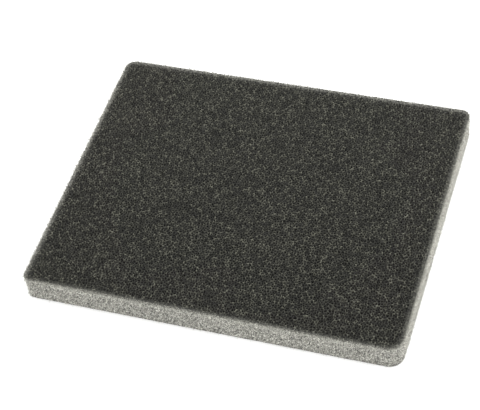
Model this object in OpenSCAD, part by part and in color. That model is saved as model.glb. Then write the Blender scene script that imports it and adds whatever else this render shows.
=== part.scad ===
// Flat foam air filter element: one die-cut slab of open-cell foam.
// +X runs along the long side, +Y along the short side, +Z up through the thickness.
// The origin is the middle of the bottom face.

/* [Slab] */
// Length of the long side
slab_length = 130; // [80:1:200]
// Length of the short side
slab_width = 106; // [60:1:160]
// Thickness of the foam sheet
slab_thickness = 10; // [5:0.5:25]

/* [Corners] */
// Corner radius at -X, -Y
front_left_radius = 2.4; // [0.5:0.1:20]
// Corner radius at +X, -Y
front_right_radius = 5; // [0.5:0.1:20]
// Corner radius at +X, +Y
back_right_radius = 3; // [0.5:0.1:20]
// Corner radius at -X, +Y
back_left_radius = 3.6; // [0.5:0.1:20]

/* [Hidden] */
$fn = 64;
half_length = slab_length / 2;
half_width = slab_width / 2;
// Each corner is its radius and the sides of the slab that it lies on
CORNERS = [
    [front_left_radius, -1, -1],
    [front_right_radius, 1, -1],
    [back_right_radius, 1, 1],
    [back_left_radius, -1, 1]
];
// How far a cutter reaches past the slab's sides
overcut = 1;

// The square left outside one corner's arc
module corner_waste(radius, x_side, y_side) {
    translate([x_side * (half_length - radius), y_side * (half_width - radius)])
        difference() {
            translate([x_side > 0 ? 0 : -radius - overcut, y_side > 0 ? 0 : -radius - overcut])
                square(radius + overcut);
            circle(r = radius);
        }
}

// The outline that the cutting die follows
module die_outline() {
    difference() {
        square([slab_length, slab_width], center = true);
        for (corner = CORNERS)
            corner_waste(corner[0], corner[1], corner[2]);
    }
}

module foam_element() {
    color([0.25, 0.25, 0.23])
        linear_extrude(height = slab_thickness)
            die_outline();
}

foam_element();
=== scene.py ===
"""Looks of the flat foam air filter element: one slab of open-cell foam on a white studio floor.

The foam's skin is a net of polygonal cells. Neighbouring cells share a crest of struts. Inside the crest each
cell has a lip, which gives the strut its width, then a wall down to a floor, and a knot in the middle of the
floor that stands for the struts deeper in the foam. The two flat faces and the cut edge have a net each, and
a narrow rounded rim joins them into one closed skin. Thin loose strut ends stand out of the rims and the cut
edge. Lengths are in metres.
"""

import math

import bpy
import numpy as np
from mathutils import Matrix, Vector, geometry, kdtree


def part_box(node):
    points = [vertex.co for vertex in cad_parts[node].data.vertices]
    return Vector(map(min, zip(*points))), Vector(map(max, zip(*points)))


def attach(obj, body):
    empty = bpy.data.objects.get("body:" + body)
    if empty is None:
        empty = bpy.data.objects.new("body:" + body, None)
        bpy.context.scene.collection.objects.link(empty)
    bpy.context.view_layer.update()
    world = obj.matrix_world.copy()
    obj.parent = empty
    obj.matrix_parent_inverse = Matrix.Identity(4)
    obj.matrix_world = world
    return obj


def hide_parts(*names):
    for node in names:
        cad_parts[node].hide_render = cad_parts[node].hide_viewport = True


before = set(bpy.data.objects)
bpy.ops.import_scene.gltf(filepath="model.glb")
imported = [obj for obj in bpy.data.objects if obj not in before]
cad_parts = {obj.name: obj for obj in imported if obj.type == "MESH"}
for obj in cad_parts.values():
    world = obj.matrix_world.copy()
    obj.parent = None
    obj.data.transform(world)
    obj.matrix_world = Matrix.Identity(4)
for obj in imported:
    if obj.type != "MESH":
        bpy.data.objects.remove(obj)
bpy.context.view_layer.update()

MM = 0.001
FOAM_NODE = "foam_element"

# The net of cells
PORE = 1.0 * MM  # spacing of the cells
SCATTER = 0.7  # how far the cells stray from their rows at first, as a share of the spacing
EVENING = 0.9  # share of the way to the middle of its own cell that each of them then goes
WELD = 0.1 * PORE  # corners of the net that are closer than this become one
SAME_PLACE = 0.001 * PORE
RIM_MARGIN = 0.25 * PORE  # no cell starts closer to a rim than this
MIRRORED = 3 * PORE  # how far in from a rim the cells are reflected in it
WRAPPED = 4 * PORE  # how far past its ends the cut edge's strip is continued
SEED = 8

# The relief, as depths under the surface
CREST_NOISE = 0.06 * MM  # how unevenly the knife leaves the struts
STUB_SHARE = 0.22  # share of the strut knots that end in a cut stub
STUB_HEIGHT = 0.16 * MM
STUB_SPREAD = (0.4, 1.0)  # shares of that height
FACE_STUBS = 1.0  # scale of the stubs on the top face
EDGE_STUBS = 0.6  # and on the cut edge
TORN_SHARE = 0.14  # share of the knots that the knife pulled out
TORN_DEPTH = 0.25 * MM
LIP_INSET = 0.07 * MM  # half the width of a strut
LIP_SPREAD = (0.5, 1.6)  # how much that varies from knot to knot
LIP_LIMIT = 0.4  # the most of its pore's mouth that a lip covers
LIP_DROP = 0.07 * MM
ROUNDING = 0.35  # how far a pore's mouth goes from its polygon to a circle
FACE_DEPTH = 1.5 * MM  # the deepest pore floors in the flat faces
EDGE_DEPTH = 0.6 * MM  # and in the cut edge
SHALLOWEST = 0.45  # the shallowest floor, as a share of the deepest
ROOM_SHARE = 0.5  # the deepest floor, as a share of the way to the patch's edge
FLOOR_SHARE = 0.72  # a floor's width, as a share of its mouth
FLOOR_SPREAD = (0.8, 1.2)  # how much a floor's depth varies round it
KNOT_SPREAD = (0.25, 1.15)  # the knot's depth, as shares of its floor's
RIM = 0.22 * MM  # size of the rounded rim between a face and the cut edge
RIM_DIP = 0.3 * RIM  # the deepest dip of a crest on the rim
EDGE_DRAW = 0.12 * MM  # how far the cut edge is drawn in at mid-thickness

# Tones, from a pit's 0 to a strut's 1. Below the crests they are painted shade, darker into the pores
CREST_TONE = (0.2, 0.65)
STUB_TONE = 1.0
LIP_TONE = 0.8  # as a share of its crest's, a little painted shade down the pore's wall
FLOOR_TONE = 0.5  # at the surface: floors and knots darken with depth as painted shade
KNOT_TONE = 0.6

# How the faces' colour and the cut edge's meet at the rims. On the faces this is painted light, as if let in
# through the porous cut edge
NEAR_PAINTED_RIM_LIGHT = 0.2  # painted rim light on the faces at the front and right rims, as a share of the cut edge's colour
FAR_PAINTED_RIM_LIGHT = 0.6  # and at the back and left rims, which are lighter with painted backlight
PAINTED_RIM_LIGHT_SPREAD = (0.3, 1.7)
PAINTED_RIM_LIGHT_REACH = 0.7 * MM  # how far in the painted rim light falls off
RIM_TONE = 0.3  # how much of its own colour the cut edge has at the rims
RIM_FADE = 0.5 * MM  # how far from the rims it gains the rest
FADE_SPREAD = (0.6, 1.4)

# Loose strut ends that stand out of the rims and the cut edge
STRAND_GAP = 0.16 * MM
STRAND_LENGTH = (0.2 * MM, 1.3 * MM)
STRAND_RADIUS = (0.045 * MM, 0.08 * MM)
FRINGE_LENGTH = (0.2 * MM, 1.5 * MM)  # those at the upper rim are longer
FRINGE_RADIUS = (0.03 * MM, 0.055 * MM)  # those at both rims are finer
STRAND_BANDS = [
    # Lowest and highest root as shares of the thickness, spacing along the outline, lowest and highest tilt
    # in degrees, lengths, radii, and how much of the cut edge's colour they have
    (0.97, 1.00, 0.6 * STRAND_GAP, 0, 50, FRINGE_LENGTH, FRINGE_RADIUS, 0.3),
    (0.88, 0.99, 0.3 * STRAND_GAP, -25, 15, FRINGE_LENGTH, FRINGE_RADIUS, 0.8),
    (0.02, 0.12, 0.8 * STRAND_GAP, 5, 40, STRAND_LENGTH, FRINGE_RADIUS, 1.0),
    (0.08, 0.92, STRAND_GAP / 5, -30, 30, STRAND_LENGTH, STRAND_RADIUS, 1.0),
]
STRAND_SWING = 50  # the most that a strand turns aside, in degrees
STRAND_BEND = 0.25  # the most that its tip bends aside, as a share of its length
SPIKE_RINGS = [(0.0, 1.0), (0.5, 0.9), (1.0, 0.55)]  # shares of a strand's length, and its width there
STRAND_BURIED = 0.25 * MM  # added to every length for its part under the skin
ROOT_DEPTH = 0.35 * MM  # how far inside the outline a strand starts
ROOT_FLOOR = 0.3 * MM  # how far above the bottom face it starts at least
ROOT_CEILING = 0.12 * MM  # and how far below the top face

CHART_GAP = 2 * MM  # between the charts of the texture layout

# Colours, as linear reflectance
FACE_STRUT = (0.068, 0.068, 0.052, 1)
# The pit colours are painted shade deep in the pores
FACE_PAINTED_PIT_SHADE = (0.0015, 0.0015, 0.0012, 1)
FACE_CONTRAST = 1.5  # more than 1 keeps the light tone of the faces to their highest struts and deepens the painted shade in the pores
EDGE_STRUT = (0.475, 0.47, 0.425, 1)
EDGE_PAINTED_PIT_SHADE = (0.065, 0.064, 0.057, 1)
SPECKLE = (0.0, 2.0)  # how much darker and lighter the finest blotches are
SPECKLE_SIZE = 0.55 * MM
PATCHES = (0.94, 1.06)  # and the broad ones
PATCH_SIZE = 18 * MM
ROUGHNESS = (0.72, 0.95)
SHEEN_SIZE = 0.3 * MM  # size of the blotches of roughness
GRAIN_SIZE = 0.09 * MM  # the finest relief, which is a bump
GRAIN_HEIGHT = 0.02 * MM
FOAM_SHINE = 0.3  # strength of the shader's mirror reflection
FLOOR_WHITE = (0.88, 0.88, 0.88, 1)
FLOOR_ROUGHNESS = 0.9
FLOOR_HALF = 4.0  # half the floor's width, in metres

# Light: the world's strength, and each softbox's azimuth, elevation, distance, size in metres and watts
WORLD = 1.2
SOFTBOXES = {
    "right": (75, 48, 1.0, 0.7, 3.0),
    "left": (-75, 25, 1.0, 0.7, 2),
    "front": (0, 30, 1.0, 0.7, 4.5),
    "back": (165, 62, 0.4, 0.35, 2.6),
}

# The camera, as the photograph was taken, measured from the middle of the slab's bottom face
CAMERA_AZIMUTH = 24.25  # degrees to the right of the front
CAMERA_ELEVATION = 49.27
CAMERA_ROLL = -9.05
CAMERA_DISTANCE = 541.0 * MM
CAMERA_RIGHT = -5.23 * MM
CAMERA_UP = 2.14 * MM
LENS = 116.2  # millimetres on a 36 mm sensor
SENSOR = 36.0


# ---------------------------------------------------------------------------------------------- the outline


class Outline:
    """The slab's rounded outline, walked counter-clockwise from the start of the front side.

    Each of the four sides is followed by the corner at its end.
    """

    def __init__(self, node):
        """Reads the half sizes and the four corner radii from the CAD node's mesh."""
        low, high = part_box(node)
        self.half = np.array([high.x - low.x, high.y - low.y]) / 2
        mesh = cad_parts[node].data
        flat = np.array([v.co[:2] for v in mesh.vertices])
        corners = [(-1, -1), (1, -1), (1, 1), (-1, 1)]
        self.radius = np.array([self.corner_radius(flat, np.array(c)) for c in corners])
        self.centre = np.array(corners) * (self.half - self.radius[:, None])
        # Side k runs from corner k to corner k + 1
        self.side_start = self.centre + np.array([(0, -1), (1, 0), (0, 1), (-1, 0)]) * self.radius[:, None]
        self.tangent = np.array([(1, 0), (0, 1), (-1, 0), (0, -1)])
        self.normal = np.array([(0, -1), (1, 0), (0, 1), (-1, 0)])
        lengths = 2 * self.half[[0, 1, 0, 1]] - self.radius - np.roll(self.radius, -1)
        arcs = np.roll(self.radius, -1) * math.pi / 2
        self.starts = np.concatenate([[0], np.cumsum(np.stack([lengths, arcs], 1).ravel())])
        self.length = self.starts[-1]

    def corner_radius(self, flat, corner):
        """How far short of the corner the front or back side's straight stretch ends."""
        on_side = np.abs(flat[:, 1] * corner[1] - self.half[1]) < 1e-6
        return self.half[0] - (flat[on_side, 0] * corner[0]).max()

    def at(self, along):
        """Points on the outline and its outward normals there."""
        along = np.mod(along, self.length)
        part = np.searchsorted(self.starts, along, side="right") - 1
        side = np.minimum(part // 2, 3)
        run = (along - self.starts[part])[:, None]
        point = self.side_start[side] + self.tangent[side] * run
        normal = self.normal[side].astype(float)
        corner = (side + 1) % 4
        turn = run[:, 0] / self.radius[corner]
        turned = (
            self.normal[side] * np.cos(turn)[:, None] + self.tangent[side] * np.sin(turn)[:, None]
        )
        arc = part % 2 == 1
        normal[arc] = turned[arc]
        point[arc] = (self.centre[corner] + turned * self.radius[corner][:, None])[arc]
        return point, normal

    def nearest(self, points):
        """For each point: the outline's length there, how far inside it is, and the outward normal."""
        gaps = np.stack([self.half[k % 2 ^ 1] - points @ self.normal[k] for k in range(4)], 1)
        side = gaps.argmin(1)
        inside = gaps.min(1)
        normal = self.normal[side].astype(float)
        run = ((points - self.side_start[side]) * self.tangent[side]).sum(1)
        along = self.starts[2 * side] + run
        for k in range(4):
            corner = (k + 1) % 4
            out = points - self.centre[corner]
            beyond = (out @ self.normal[k] > 0) & (out @ self.tangent[k] > 0)
            reach = np.linalg.norm(out[beyond], axis=1)
            ray = out[beyond] / reach[:, None]
            turn = np.arctan2(ray @ self.tangent[k], ray @ self.normal[k])
            inside[beyond] = self.radius[corner] - reach
            normal[beyond] = ray
            along[beyond] = self.starts[2 * k + 1] + turn * self.radius[corner]
        return np.mod(along, self.length), inside, normal


# ---------------------------------------------------------------------------------------------- the cell net


class Net:
    """A net of cells on a flat patch.

    corner holds the net's corners. cell and at list every cell's corners in turn, counter-clockwise: entry k
    says that corner at[k] belongs to cell cell[k], and after[k] is the next entry round that cell. edge marks
    the corners on the patch's edge, and middle holds each cell's middle. period is the length after which the
    patch closes on itself, or None.
    """


def circumcentres(a, b, c):
    """The centres of the circles through three points each."""
    ab, ac = b - a, c - a
    cross = 2 * (ab[:, 0] * ac[:, 1] - ab[:, 1] * ac[:, 0])
    bb, cc = (ab**2).sum(1), (ac**2).sum(1)
    x = (ac[:, 1] * bb - ab[:, 1] * cc) / cross
    y = (ab[:, 0] * cc - ac[:, 0] * bb) / cross
    return a + np.stack([x, y], 1)


def joined(labels, a, b):
    """Gives both ends of each pair the same label, the lowest in their group."""
    while True:
        low = np.minimum(labels[a], labels[b])
        np.minimum.at(labels, a, low)
        np.minimum.at(labels, b, low)
        if (labels[a] == labels[b]).all():
            return labels


def net_of(seeds, copies, mirrored, weld, period=None):
    """The Voronoi cells of the seeds.

    mirrored are reflections in the patch's edge, which cut the cells off there. copies stand past the ends of
    a patch that closes on itself after period. Corners closer than weld become one.
    """
    points = np.vstack([seeds, copies, mirrored])
    # The triangulation's tolerance suits lengths near 1
    made = geometry.delaunay_2d_cdt([Vector(p) for p in points / PORE], [], [], 0, 1e-6)
    given = np.array([before[0] for before in made[3]])
    triangles = given[np.array(made[2])]
    corner = circumcentres(*(points[triangles[:, k]] for k in range(3)))
    touches_edge = (triangles >= len(seeds) + len(copies)).any(1)

    cell = triangles.ravel()
    at = np.repeat(np.arange(len(triangles)), 3)
    kept = cell < len(seeds)
    cell, at = cell[kept], at[kept]
    ray = corner[at] - points[cell]
    order = np.lexsort((np.arctan2(ray[:, 1], ray[:, 0]), cell))
    cell, at = cell[order], at[order]

    after = next_in_ring(cell)
    close = np.linalg.norm(corner[at] - corner[at[after]], axis=1) < weld
    if period:
        at = brought_home(corner, at, period)
    labels = joined(np.arange(len(corner)), at[close], at[after][close])
    off = apart(corner, corner[labels], period)
    at = labels[at]
    changes = at != at[after]
    cell, at = cell[changes], at[changes]

    net = Net()
    net.period = period
    used, at = np.unique(at, return_inverse=True)
    member = np.flatnonzero(np.isin(labels, used))
    group = np.searchsorted(used, labels[member])
    net.corner = corner[used] + averages(group, off[member], len(used))
    net.edge = np.bincount(group, touches_edge[member], len(used)) > 0
    net.cell, net.at = cell, at
    net.after = next_in_ring(cell)
    net.middle = seeds + averages(cell, apart(net.corner[at], seeds[cell], period), len(seeds))
    return net


def averages(group, values, count):
    """The mean of the values of each of count groups."""
    size = np.maximum(np.bincount(group, minlength=count), 1)
    return np.stack([np.bincount(group, values[:, k], count) / size for k in range(2)], 1)


def apart(points, origins, period):
    """The way from the origins to the points, the short way round if the patch closes on itself."""
    way = points - origins
    if period:
        way[:, 0] = shortest(way[:, 0], period)
    return way


def shortest(run, period):
    """The shortest way between two places on a loop, from the difference of their lengths along it."""
    return np.mod(run + period / 2, period) - period / 2


def brought_home(corner, at, period):
    """Replaces each corner past an end of the strip by its match at the other end.

    Two seeds and their reflections lie on one circle, so there are pairs of corners in the same place. The
    first of them stands for both, or the two ends of the strip could choose differently.
    """
    home = (corner[:, 0] >= 0) & (corner[:, 0] < period)
    finder = kdtree.KDTree(int(home.sum()))
    for number in np.flatnonzero(home):
        finder.insert((*corner[number], 0), number)
    finder.balance()
    same = np.arange(len(corner))
    for number in np.unique(at):
        x, y = corner[number]
        matches = finder.find_range((x % period, y, 0), SAME_PLACE)
        if not matches:
            raise RuntimeError("the cut edge's net doesn't close on itself")
        same[number] = min(match[1] for match in matches)
    return same[at]


def next_in_ring(cell):
    """For a list sorted by cell, the index of the next entry of the same cell, going round."""
    first = np.searchsorted(cell, cell, side="left")
    after = np.arange(len(cell)) + 1
    ends = np.append(cell[1:] != cell[:-1], True)
    after[ends] = first[ends]
    return after


def scattered(width, height, pitch, rng):
    """Points in rows across a width by height patch from its lower left.

    Each row is shifted by its own share of the pitch, and then each point strays.
    """
    columns = max(1, round(width / pitch))
    rows = max(1, round(height / (pitch * math.sqrt(0.75))))
    column, row = np.meshgrid(np.arange(columns), np.arange(rows))
    x = (column + rng.random(rows)[row]) * width / columns
    y = (row + 0.5) * height / rows
    points = np.stack([x.ravel(), y.ravel()], 1)
    return points + rng.uniform(-SCATTER, SCATTER, points.shape) * pitch


def evened(seeds, middles):
    """Moves each seed towards the middle of its cell."""
    return seeds + EVENING * (middles - seeds)


# ---------------------------------------------------------------------------------------------- the foam skin


class Skin:
    """Collects vertices and faces, with what the material needs to know at each vertex."""

    def __init__(self):
        self.places, self.strut, self.cut = [], [], []
        self.quads, self.triangles = [], []
        self.count = 0

    def add(self, places, strut, cut):
        """Adds vertices and returns their numbers."""
        first = self.count
        self.count += len(places)
        self.places.append(places)
        self.strut.append(np.broadcast_to(strut, len(places)))
        self.cut.append(np.broadcast_to(cut, len(places)))
        return np.arange(first, self.count)


def cell_depths(net, room, deep, rng):
    """Each cell's floor depth.

    room is how far its middle is from the patch's edge. Near the edge pores have to stay shallow, so that
    those of the neighbouring patch don't cut into them.
    """
    depth = deep * rng.uniform(SHALLOWEST, 1.0, len(net.middle))
    return np.minimum(depth, ROOM_SHARE * room)


def crest_dips(net, stub, rng):
    """How far each corner of the net lies under the surface. Cut stubs stand proud of it."""
    corners = len(net.corner)
    dip = np.abs(rng.normal(0, CREST_NOISE, corners))
    chance = rng.random(corners)
    height = stub * STUB_HEIGHT * rng.uniform(*STUB_SPREAD, corners)
    dip = np.where(chance < STUB_SHARE, -height, dip)
    dip = np.where(chance > 1 - TORN_SHARE, TORN_DEPTH, dip)
    dip[net.edge] = np.clip(dip[net.edge], 0, RIM_DIP)
    return dip


def painted_depth_shade(depth, deep, surface_tone):
    """The tone of a floor or knot, painted shade that darkens with its depth."""
    return surface_tone * np.clip(1 - depth / deep, 0, 1) ** 2


def lay_net(skin, net, place, room, deep, stub, glow, rng):
    """Adds a net's cells to the skin. Returns the vertex numbers of its corners, its quads and its triangles.

    place(points, depth) gives positions in space, deep is the depth of the deepest floor, stub scales the
    stubs' heights, and glow(points) says how much of the cut edge's colour there is; near the flat faces'
    rims that is painted light.
    """
    dip = crest_dips(net, stub, rng)
    tone = np.where(dip < 0, STUB_TONE, rng.uniform(*CREST_TONE, len(dip)))
    crest = skin.add(place(net.corner, dip), tone, glow(net.corner))

    middle = net.middle[net.cell]
    ray = apart(net.corner[net.at], middle, net.period)
    reach = np.linalg.norm(ray, axis=1)
    mean = (np.bincount(net.cell, reach) / np.maximum(np.bincount(net.cell), 1))[net.cell]
    mouth = (1 - ROUNDING) * reach + ROUNDING * np.minimum(mean, reach)
    inset = np.minimum(LIP_INSET * rng.uniform(*LIP_SPREAD, len(dip))[net.at], LIP_LIMIT * mouth)
    unit = ray / reach[:, None]
    lip_at = middle + unit * (mouth - inset)[:, None]
    floor_at = middle + unit * ((mouth - inset) * FLOOR_SHARE)[:, None]

    depth = cell_depths(net, room, deep, rng)
    knot_dip = depth * rng.uniform(*KNOT_SPREAD, len(depth))
    lip_dip = np.minimum(dip[net.at] + LIP_DROP, np.maximum(depth[net.cell], dip[net.at]))
    floor_dip = np.maximum(depth[net.cell] * rng.uniform(*FLOOR_SPREAD, len(reach)), lip_dip)
    # Lips a little darker than their crests, floors and knots darker with depth: painted shade in the pores
    lip = skin.add(place(lip_at, lip_dip), LIP_TONE * tone[net.at], glow(lip_at))
    floor = skin.add(place(floor_at, floor_dip), painted_depth_shade(depth, deep, FLOOR_TONE)[net.cell], glow(floor_at))
    knot = skin.add(place(net.middle, knot_dip), painted_depth_shade(knot_dip, deep, KNOT_TONE), glow(net.middle))

    now, after = np.arange(len(net.at)), net.after
    outer = np.stack([crest[net.at], crest[net.at[after]], lip[after], lip[now]], 1)
    inner = np.stack([lip[now], lip[after], floor[after], floor[now]], 1)
    bottom = np.stack([floor[now], floor[after], knot[net.cell]], 1)
    return crest, np.vstack([outer, inner]), bottom


def zipped(outer, outer_along, inner, inner_along):
    """Triangles between two rings of vertices that both go round the outline, each in order along it."""
    rings = []
    for numbers, along in ((outer, outer_along), (inner, inner_along)):
        order = np.argsort(along)
        rings.append((numbers[order], along[order]))
    (a, a_along), (b, b_along) = rings

    def ahead(along, k):
        """How far along the outline entry k is, which may be on the next lap."""
        return along[k % len(along)] + outline.length * (k // len(along))

    i, j, faces = 0, 0, []
    while i < len(a) or j < len(b):
        if j >= len(b) or (i < len(a) and ahead(a_along, i + 1) < ahead(b_along, j + 1)):
            faces.append((a[i % len(a)], b[j % len(b)], a[(i + 1) % len(a)]))
            i += 1
        else:
            faces.append((a[i % len(a)], b[j % len(b)], b[(j + 1) % len(b)]))
            j += 1
    return np.array(faces)


def face_net(rng):
    """The net of a flat face, inside the outline less the rim."""
    width, height = 2 * outline.half
    seeds = scattered(width, height, PORE, rng) - outline.half

    def reflected(points):
        """The reflections in the rim of the points near it."""
        along, inside, normal = outline.nearest(points)
        near = inside < MIRRORED
        return points[near] + 2 * (inside[near] - RIM)[:, None] * normal[near]

    inside = outline.nearest(seeds)[1]
    seeds = seeds[inside > RIM + RIM_MARGIN]
    none = np.empty((0, 2))
    seeds = evened(seeds, net_of(seeds, none, reflected(seeds), 0.0).middle)
    net = net_of(seeds, none, reflected(seeds), WELD)
    # The corners on the edge go exactly on the outline less the rim
    along, inside, normal = outline.nearest(net.corner)
    net.corner[net.edge] += ((inside - RIM)[:, None] * normal)[net.edge]
    net.along = along
    return net


def edge_net(thickness, rng):
    """The net of the cut edge, in length along the outline and height. It closes on itself."""
    low, high = RIM, thickness - RIM
    length = outline.length
    # The rows run up the edge, so that no rows show along it
    seeds = scattered(high - low, length, PORE, rng)[:, ::-1] + np.array([0, low])
    seeds[:, 0] = np.mod(seeds[:, 0], length)
    seeds[:, 1] = np.clip(seeds[:, 1], low + RIM_MARGIN, high - RIM_MARGIN)

    def surrounded(points):
        """The ghosts of the cut edge: its copies past both ends, and the reflections of all in both rims."""
        after = points[points[:, 0] < WRAPPED] + (length, 0)
        before = points[points[:, 0] > length - WRAPPED] - (length, 0)
        every = np.vstack([points, after, before])
        below = every[every[:, 1] < low + MIRRORED]
        above = every[every[:, 1] > high - MIRRORED]
        mirrored = [below * (1, -1) + (0, 2 * low), above * (1, -1) + (0, 2 * high)]
        return np.vstack([after, before]), np.vstack(mirrored)

    seeds = evened(seeds, net_of(seeds, *surrounded(seeds), 0.0, length).middle)
    seeds[:, 0] = np.mod(seeds[:, 0], length)
    net = net_of(seeds, *surrounded(seeds), WELD, length)
    # The corners on the edge go exactly on the rims
    net.corner[net.edge, 1] = np.where(net.corner[net.edge, 1] > thickness / 2, high, low)
    return net


outline = Outline(FOAM_NODE)
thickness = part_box(FOAM_NODE)[1].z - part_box(FOAM_NODE)[0].z


def on_top(points, depth):
    """Positions in space of points at depths under the top face."""
    return np.column_stack([points, thickness - depth])


def on_bottom(points, depth):
    """Positions over the bottom face. Nothing stands proud of the face that the slab rests on."""
    return np.column_stack([points, np.maximum(depth, 0)])


def on_edge(points, depth):
    """Positions behind the cut edge, which is drawn in at mid-thickness, as foam springs back when cut."""
    place, normal = outline.at(points[:, 0])
    height = points[:, 1]
    drawn = EDGE_DRAW * (1 - (2 * height / thickness - 1) ** 2)
    return np.column_stack([place - normal * (depth + drawn)[:, None], height])


def face_painted_rim_light(rng):
    """Painted light at a face's rims, as if let in through the porous cut edge: the cut edge's colour, uneven
    and fading out inwards.
    """

    def glow(points):
        along, inside, normal = outline.nearest(points)
        # 0 on the front and right sides, 1 on the back and left sides, whose rims get more painted backlight
        far = np.clip(0.5 + (normal[:, 1] - normal[:, 0]) / 2, 0, 1)
        share = NEAR_PAINTED_RIM_LIGHT + (FAR_PAINTED_RIM_LIGHT - NEAR_PAINTED_RIM_LIGHT) * far
        return share * np.exp(-np.maximum(inside, 0) / PAINTED_RIM_LIGHT_REACH) * rng.uniform(*PAINTED_RIM_LIGHT_SPREAD, len(points))

    return glow


def edge_glow(rng):
    """The faces' dark colour reaches round the rims onto the cut edge, unevenly."""

    def glow(points):
        from_rim = np.minimum(points[:, 1], thickness - points[:, 1]) - RIM
        return np.clip(RIM_TONE + from_rim / RIM_FADE * rng.uniform(*FADE_SPREAD, len(points)), 0, 1)

    return glow


def build_skin():
    """Lays the three nets and joins them. Returns the skin, and groups of faces with their charts' names."""
    rng = np.random.default_rng(SEED)
    skin = Skin()
    top, bottom, edge = face_net(rng), face_net(rng), edge_net(thickness, rng)
    groups = []
    rings = {}
    for name, net, place, stub in (("top", top, on_top, FACE_STUBS), ("bottom", bottom, on_bottom, 0.0)):
        room = outline.nearest(net.middle)[1] - RIM
        crest, quads, triangles = lay_net(skin, net, place, room, FACE_DEPTH, stub, face_painted_rim_light(rng), rng)
        if name == "bottom":
            quads, triangles = quads[:, ::-1], triangles[:, ::-1]
        groups += [(name, quads), (name, triangles)]
        rings[name] = (crest[net.edge], net.along[net.edge])
    room = np.minimum(edge.middle[:, 1] - RIM, thickness - RIM - edge.middle[:, 1])
    crest, quads, triangles = lay_net(skin, edge, on_edge, room, EDGE_DEPTH, EDGE_STUBS, edge_glow(rng), rng)
    groups += [("edge", quads), ("edge", triangles)]
    upper = edge.edge & (edge.corner[:, 1] > thickness / 2)
    lower = edge.edge & ~upper
    groups.append(("top", zipped(*rings["top"], crest[upper], edge.corner[upper, 0])))
    groups.append(("bottom", zipped(*rings["bottom"], crest[lower], edge.corner[lower, 0])[:, ::-1]))
    groups += [("edge", faces) for faces in add_strands(skin, rng)]
    return skin, groups


def add_strands(skin, rng):
    """Adds the loose strut ends, each a closed spike whose root is under the skin. Returns their faces."""
    faces = []
    for bottom, top, gap, low, high, lengths, radii, cut in STRAND_BANDS:
        count = int(outline.length / gap)
        along = (np.arange(count) + rng.uniform(-0.5, 0.5, count)) * gap
        point, normal = outline.at(along)
        tilt = np.radians(rng.uniform(low, high, count))
        swing = np.radians(rng.uniform(-STRAND_SWING, STRAND_SWING, count))
        side = np.stack([-normal[:, 1], normal[:, 0]], 1)
        flat = normal * np.cos(swing)[:, None] + side * np.sin(swing)[:, None]
        away = np.column_stack([flat * np.cos(tilt)[:, None], np.sin(tilt)])
        height = np.clip(thickness * rng.uniform(bottom, top, count), ROOT_FLOOR, thickness - ROOT_CEILING)
        root = np.column_stack([point - normal * ROOT_DEPTH, height])
        shortest_strand, longest = lengths
        # Most strands are short, so that the fringe thins out
        length = shortest_strand + (longest - shortest_strand) * rng.random(count) ** 2 + STRAND_BURIED
        radius = rng.uniform(*radii, count)
        faces += spikes(skin, root, away, length, radius, cut, rng)
    return faces


def spikes(skin, root, away, length, radius, cut, rng):
    """Closed three-sided spikes, bent on the way to their tips. Returns their quads and triangles."""
    count = len(root)
    across = np.cross(away, rng.normal(0, 1, (count, 3)))
    across /= np.linalg.norm(across, axis=1)[:, None]
    upright = np.cross(away, across)
    bend = across * (STRAND_BEND * length * rng.uniform(-1, 1, count))[:, None]
    rings = []
    for share, width in SPIKE_RINGS:
        middle = root + away * (length * share)[:, None] + bend * (share**2)
        for turn in np.radians((0, 120, 240)):
            out = across * math.cos(turn) + upright * math.sin(turn)
            place = middle + out * (radius * width)[:, None]
            place[:, 2] = np.maximum(place[:, 2], 0)
            rings.append(skin.add(place, STUB_TONE, cut))
    quads = []
    for ring in (0, 3):
        for k in range(3):
            j = (k + 1) % 3
            corners = [rings[ring + k], rings[ring + j], rings[ring + 3 + j], rings[ring + 3 + k]]
            quads.append(np.stack(corners, 1))
    caps = [np.stack([rings[2], rings[1], rings[0]], 1), np.stack([rings[6], rings[7], rings[8]], 1)]
    return [np.vstack(quads), np.vstack(caps)]


def chart_origins():
    """Where each chart of the texture layout starts on a square sheet, and the sheet's size.

    The two faces stand side by side, and the four strips of the cut edge lie above them.
    """
    gap = CHART_GAP
    long_side, short_side = 2 * outline.half
    row = thickness + gap
    above = long_side + 2 * gap
    origins = {
        "top": (gap, gap),
        "bottom": (short_side + 2 * gap, gap),
        "edge0": (gap, above),
        "edge2": (gap, above + row),
        "edge1": (gap, above + 2 * row),
        "edge3": (short_side + 2 * gap, above + 2 * row),
    }
    return origins, 2 * short_side + 3 * gap


def layout(name, faces, places, along):
    """Texture coordinates for every corner of the faces of one chart."""
    origins, sheet = chart_origins()
    if name != "edge":
        flat = places[faces][..., 1::-1] + outline.half[::-1]
        return (flat + origins[name]) / sheet
    run = along[faces]
    length = outline.length
    run = run[:, :1] + shortest(run - run[:, :1], length)
    # Strip k covers side k and half of the corners at its two ends
    half_arcs = outline.radius * math.pi / 4
    begins = outline.starts[0:8:2] - half_arcs
    strip = np.searchsorted(begins, np.mod(run[:, 0] - begins[0], length) + begins[0], side="right") - 1
    # The small step keeps a face at a strip's very start from going to its far end
    run = np.mod(run[:, :1] - begins[strip][:, None] + 1e-9, length) + (run - run[:, :1])
    starts = np.array([origins[f"edge{k}"] for k in range(4)])[strip][:, None]
    return (np.stack([run, places[faces][..., 2]], -1) + starts) / sheet


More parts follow.
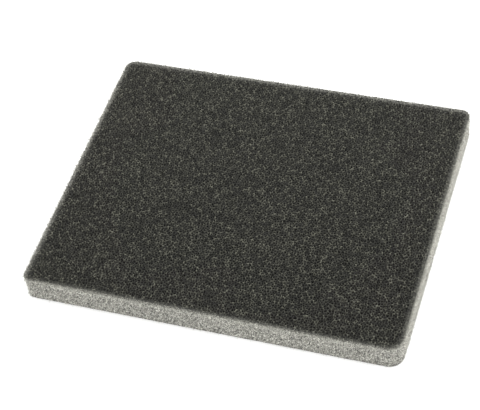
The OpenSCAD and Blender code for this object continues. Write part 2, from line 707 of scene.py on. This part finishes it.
def foam_mesh():
    """The whole skin as one closed mesh."""
    skin, groups = build_skin()
    places = np.vstack(skin.places)
    along = outline.nearest(places[:, :2])[0]
    corners = np.concatenate([faces.ravel() for _, faces in groups])
    sizes = np.concatenate([np.full(len(faces), faces.shape[1]) for _, faces in groups])
    starts = np.cumsum(sizes) - sizes
    charts = [layout(name, faces, places, along).reshape(-1, 2) for name, faces in groups]
    coordinates = np.concatenate(charts)

    mesh = bpy.data.meshes.new("foam_skin")
    mesh.vertices.add(len(places))
    mesh.vertices.foreach_set("co", places.astype(np.float32).ravel())
    mesh.loops.add(len(corners))
    mesh.loops.foreach_set("vertex_index", corners.astype(np.int32))
    mesh.polygons.add(len(sizes))
    mesh.polygons.foreach_set("loop_start", starts.astype(np.int32))
    mesh.update(calc_edges=True)
    mesh.shade_smooth()
    uv = mesh.uv_layers.new(name="OFBake")
    uv.data.foreach_set("uv", coordinates.astype(np.float32).ravel())
    # On the flat faces near the rims, cut holds painted rim light
    # strut carries the painted shade of the pores
    for name, values in (("strut", skin.strut), ("cut", skin.cut)):
        attribute = mesh.attributes.new(name, "FLOAT", "POINT")
        attribute.data.foreach_set("value", np.concatenate(values).astype(np.float32))
    return mesh


# ---------------------------------------------------------------------------------------------- materials


def node(tree, kind, inputs=(), **settings):
    """Adds a shader node. inputs pairs a socket's name or number with a value or another node's output."""
    made = tree.nodes.new(kind)
    for key, value in settings.items():
        setattr(made, key, value)
    for key, value in dict(inputs).items():
        if isinstance(value, bpy.types.NodeSocket):
            tree.links.new(value, made.inputs[key])
        else:
            made.inputs[key].default_value = value
    return made


def attribute(tree, name):
    return node(tree, "ShaderNodeAttribute", attribute_name=name).outputs["Fac"]


def mixed(tree, factor, low, high):
    """A colour between low and high."""
    mix = node(tree, "ShaderNodeMix", data_type="RGBA", clamp_factor=True)
    for socket, value in ((mix.inputs[0], factor), (mix.inputs[6], low), (mix.inputs[7], high)):
        if isinstance(value, bpy.types.NodeSocket):
            tree.links.new(value, socket)
        else:
            socket.default_value = value
    return mix.outputs[2]


def arithmetic(tree, operation, *values):
    return node(tree, "ShaderNodeMath", enumerate(values), operation=operation).outputs[0]


def noise(tree, place, size, detail=2.0):
    """Noise from 0 to 1 whose blotches are about size across."""
    made = node(tree, "ShaderNodeTexNoise", {"Vector": place, "Scale": 1 / size, "Detail": detail})
    return made.outputs["Fac"]


def ranged(tree, value, low, high):
    """Carries noise, which hardly leaves 0.25 to 0.75, to the range low to high."""
    ends = {"Value": value, "From Min": 0.25, "From Max": 0.75, "To Min": low, "To Max": high}
    return node(tree, "ShaderNodeMapRange", ends).outputs[0]


def foam_material():
    """Charcoal foam whose flat faces are dark and whose freshly cut edge is a lighter, warmer grey."""
    material = bpy.data.materials.new("foam")
    material.use_nodes = True
    tree = material.node_tree
    shader = tree.nodes["Principled BSDF"]
    place = node(tree, "ShaderNodeTexCoord").outputs["Object"]
    strut, cut = attribute(tree, "strut"), attribute(tree, "cut")
    # Painted shade: the strut tone darkens the pores towards the pit colours
    face_colour = mixed(tree, arithmetic(tree, "POWER", strut, FACE_CONTRAST), FACE_PAINTED_PIT_SHADE, FACE_STRUT)
    edge_colour = mixed(tree, strut, EDGE_PAINTED_PIT_SHADE, EDGE_STRUT)
    # Near the flat faces' rims cut is painted light, stronger at the back and left rims as painted backlight
    colour = mixed(tree, cut, face_colour, edge_colour)
    speckle = ranged(tree, noise(tree, place, SPECKLE_SIZE), *SPECKLE)
    patches = ranged(tree, noise(tree, place, PATCH_SIZE), *PATCHES)
    tone = arithmetic(tree, "MULTIPLY", speckle, patches)
    toned = node(tree, "ShaderNodeVectorMath", {0: colour, 1: tone}, operation="MULTIPLY")
    tree.links.new(toned.outputs[0], shader.inputs["Base Color"])
    roughness = ranged(tree, noise(tree, place, SHEEN_SIZE), *ROUGHNESS)
    tree.links.new(roughness, shader.inputs["Roughness"])
    shader.inputs["Specular IOR Level"].default_value = FOAM_SHINE
    relief = {"Height": noise(tree, place, GRAIN_SIZE), "Strength": 0.25, "Distance": GRAIN_HEIGHT}
    grain = node(tree, "ShaderNodeBump", relief)
    tree.links.new(grain.outputs[0], shader.inputs["Normal"])
    return material


def floor_material():
    material = bpy.data.materials.new("studio_floor")
    material.use_nodes = True
    shader = material.node_tree.nodes["Principled BSDF"]
    shader.inputs["Base Color"].default_value = FLOOR_WHITE
    shader.inputs["Roughness"].default_value = FLOOR_ROUGHNESS
    shader.inputs["Specular IOR Level"].default_value = 0.0
    return material


# ---------------------------------------------------------------------------------------------- the studio


def add_object(name, data):
    made = bpy.data.objects.new(name, data)
    bpy.context.scene.collection.objects.link(made)
    return made


def add_floor():
    corners = [(x * FLOOR_HALF, y * FLOOR_HALF, 0) for x, y in ((-1, -1), (1, -1), (1, 1), (-1, 1))]
    mesh = bpy.data.meshes.new("studio_floor")
    mesh.from_pydata(corners, [], [(0, 1, 2, 3)])
    mesh.materials.append(floor_material())
    floor = add_object("studio_floor", mesh)


def add_softbox(name, azimuth, elevation, distance, size, power):
    """A square softbox that faces the slab and that no camera sees."""
    a, e = math.radians(azimuth), math.radians(elevation)
    back = Vector((math.sin(a) * math.cos(e), -math.cos(a) * math.cos(e), math.sin(e)))
    lamp = bpy.data.lights.new(name, "AREA")
    lamp.size = size
    lamp.energy = power
    made = add_object(name, lamp)
    made.location = back * distance
    made.rotation_mode = "QUATERNION"
    made.rotation_quaternion = (-back).to_track_quat("-Z", "Y")
    made.visible_camera = False


def add_lights():
    world = bpy.data.worlds.new("studio")
    bpy.context.scene.world = world
    world.use_nodes = True
    background = world.node_tree.nodes["Background"]
    background.inputs["Color"].default_value = (1, 1, 1, 1)
    background.inputs["Strength"].default_value = WORLD
    for name, box in SOFTBOXES.items():
        add_softbox(name, *box)


def add_camera():
    """The camera looks along its back axis reversed, turned by its roll about that axis."""
    a, e, r = (math.radians(x) for x in (CAMERA_AZIMUTH, CAMERA_ELEVATION, CAMERA_ROLL))
    back = Vector((math.sin(a) * math.cos(e), -math.cos(a) * math.cos(e), math.sin(e)))
    level = Vector((0, 0, 1)).cross(back).normalized()
    upright = back.cross(level)
    right = math.cos(r) * level + math.sin(r) * upright
    up = -math.sin(r) * level + math.cos(r) * upright
    data = bpy.data.cameras.new("camera")
    data.lens, data.sensor_width = LENS, SENSOR
    camera = add_object("camera", data)
    turn = Matrix((right, up, back)).transposed().to_4x4()
    place = right * CAMERA_RIGHT + up * CAMERA_UP + back * CAMERA_DISTANCE
    camera.matrix_world = Matrix.Translation(place) @ turn
    data.clip_start, data.clip_end = 0.01, 20
    bpy.context.scene.camera = camera


def add_foam():
    mesh = foam_mesh()
    mesh.materials.append(foam_material())
    foam = add_object("foam_slab", mesh)
    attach(foam, "root")
    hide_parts(FOAM_NODE)


add_foam()
add_floor()
add_lights()
add_camera()
bpy.context.scene.view_settings.view_transform = "Standard"
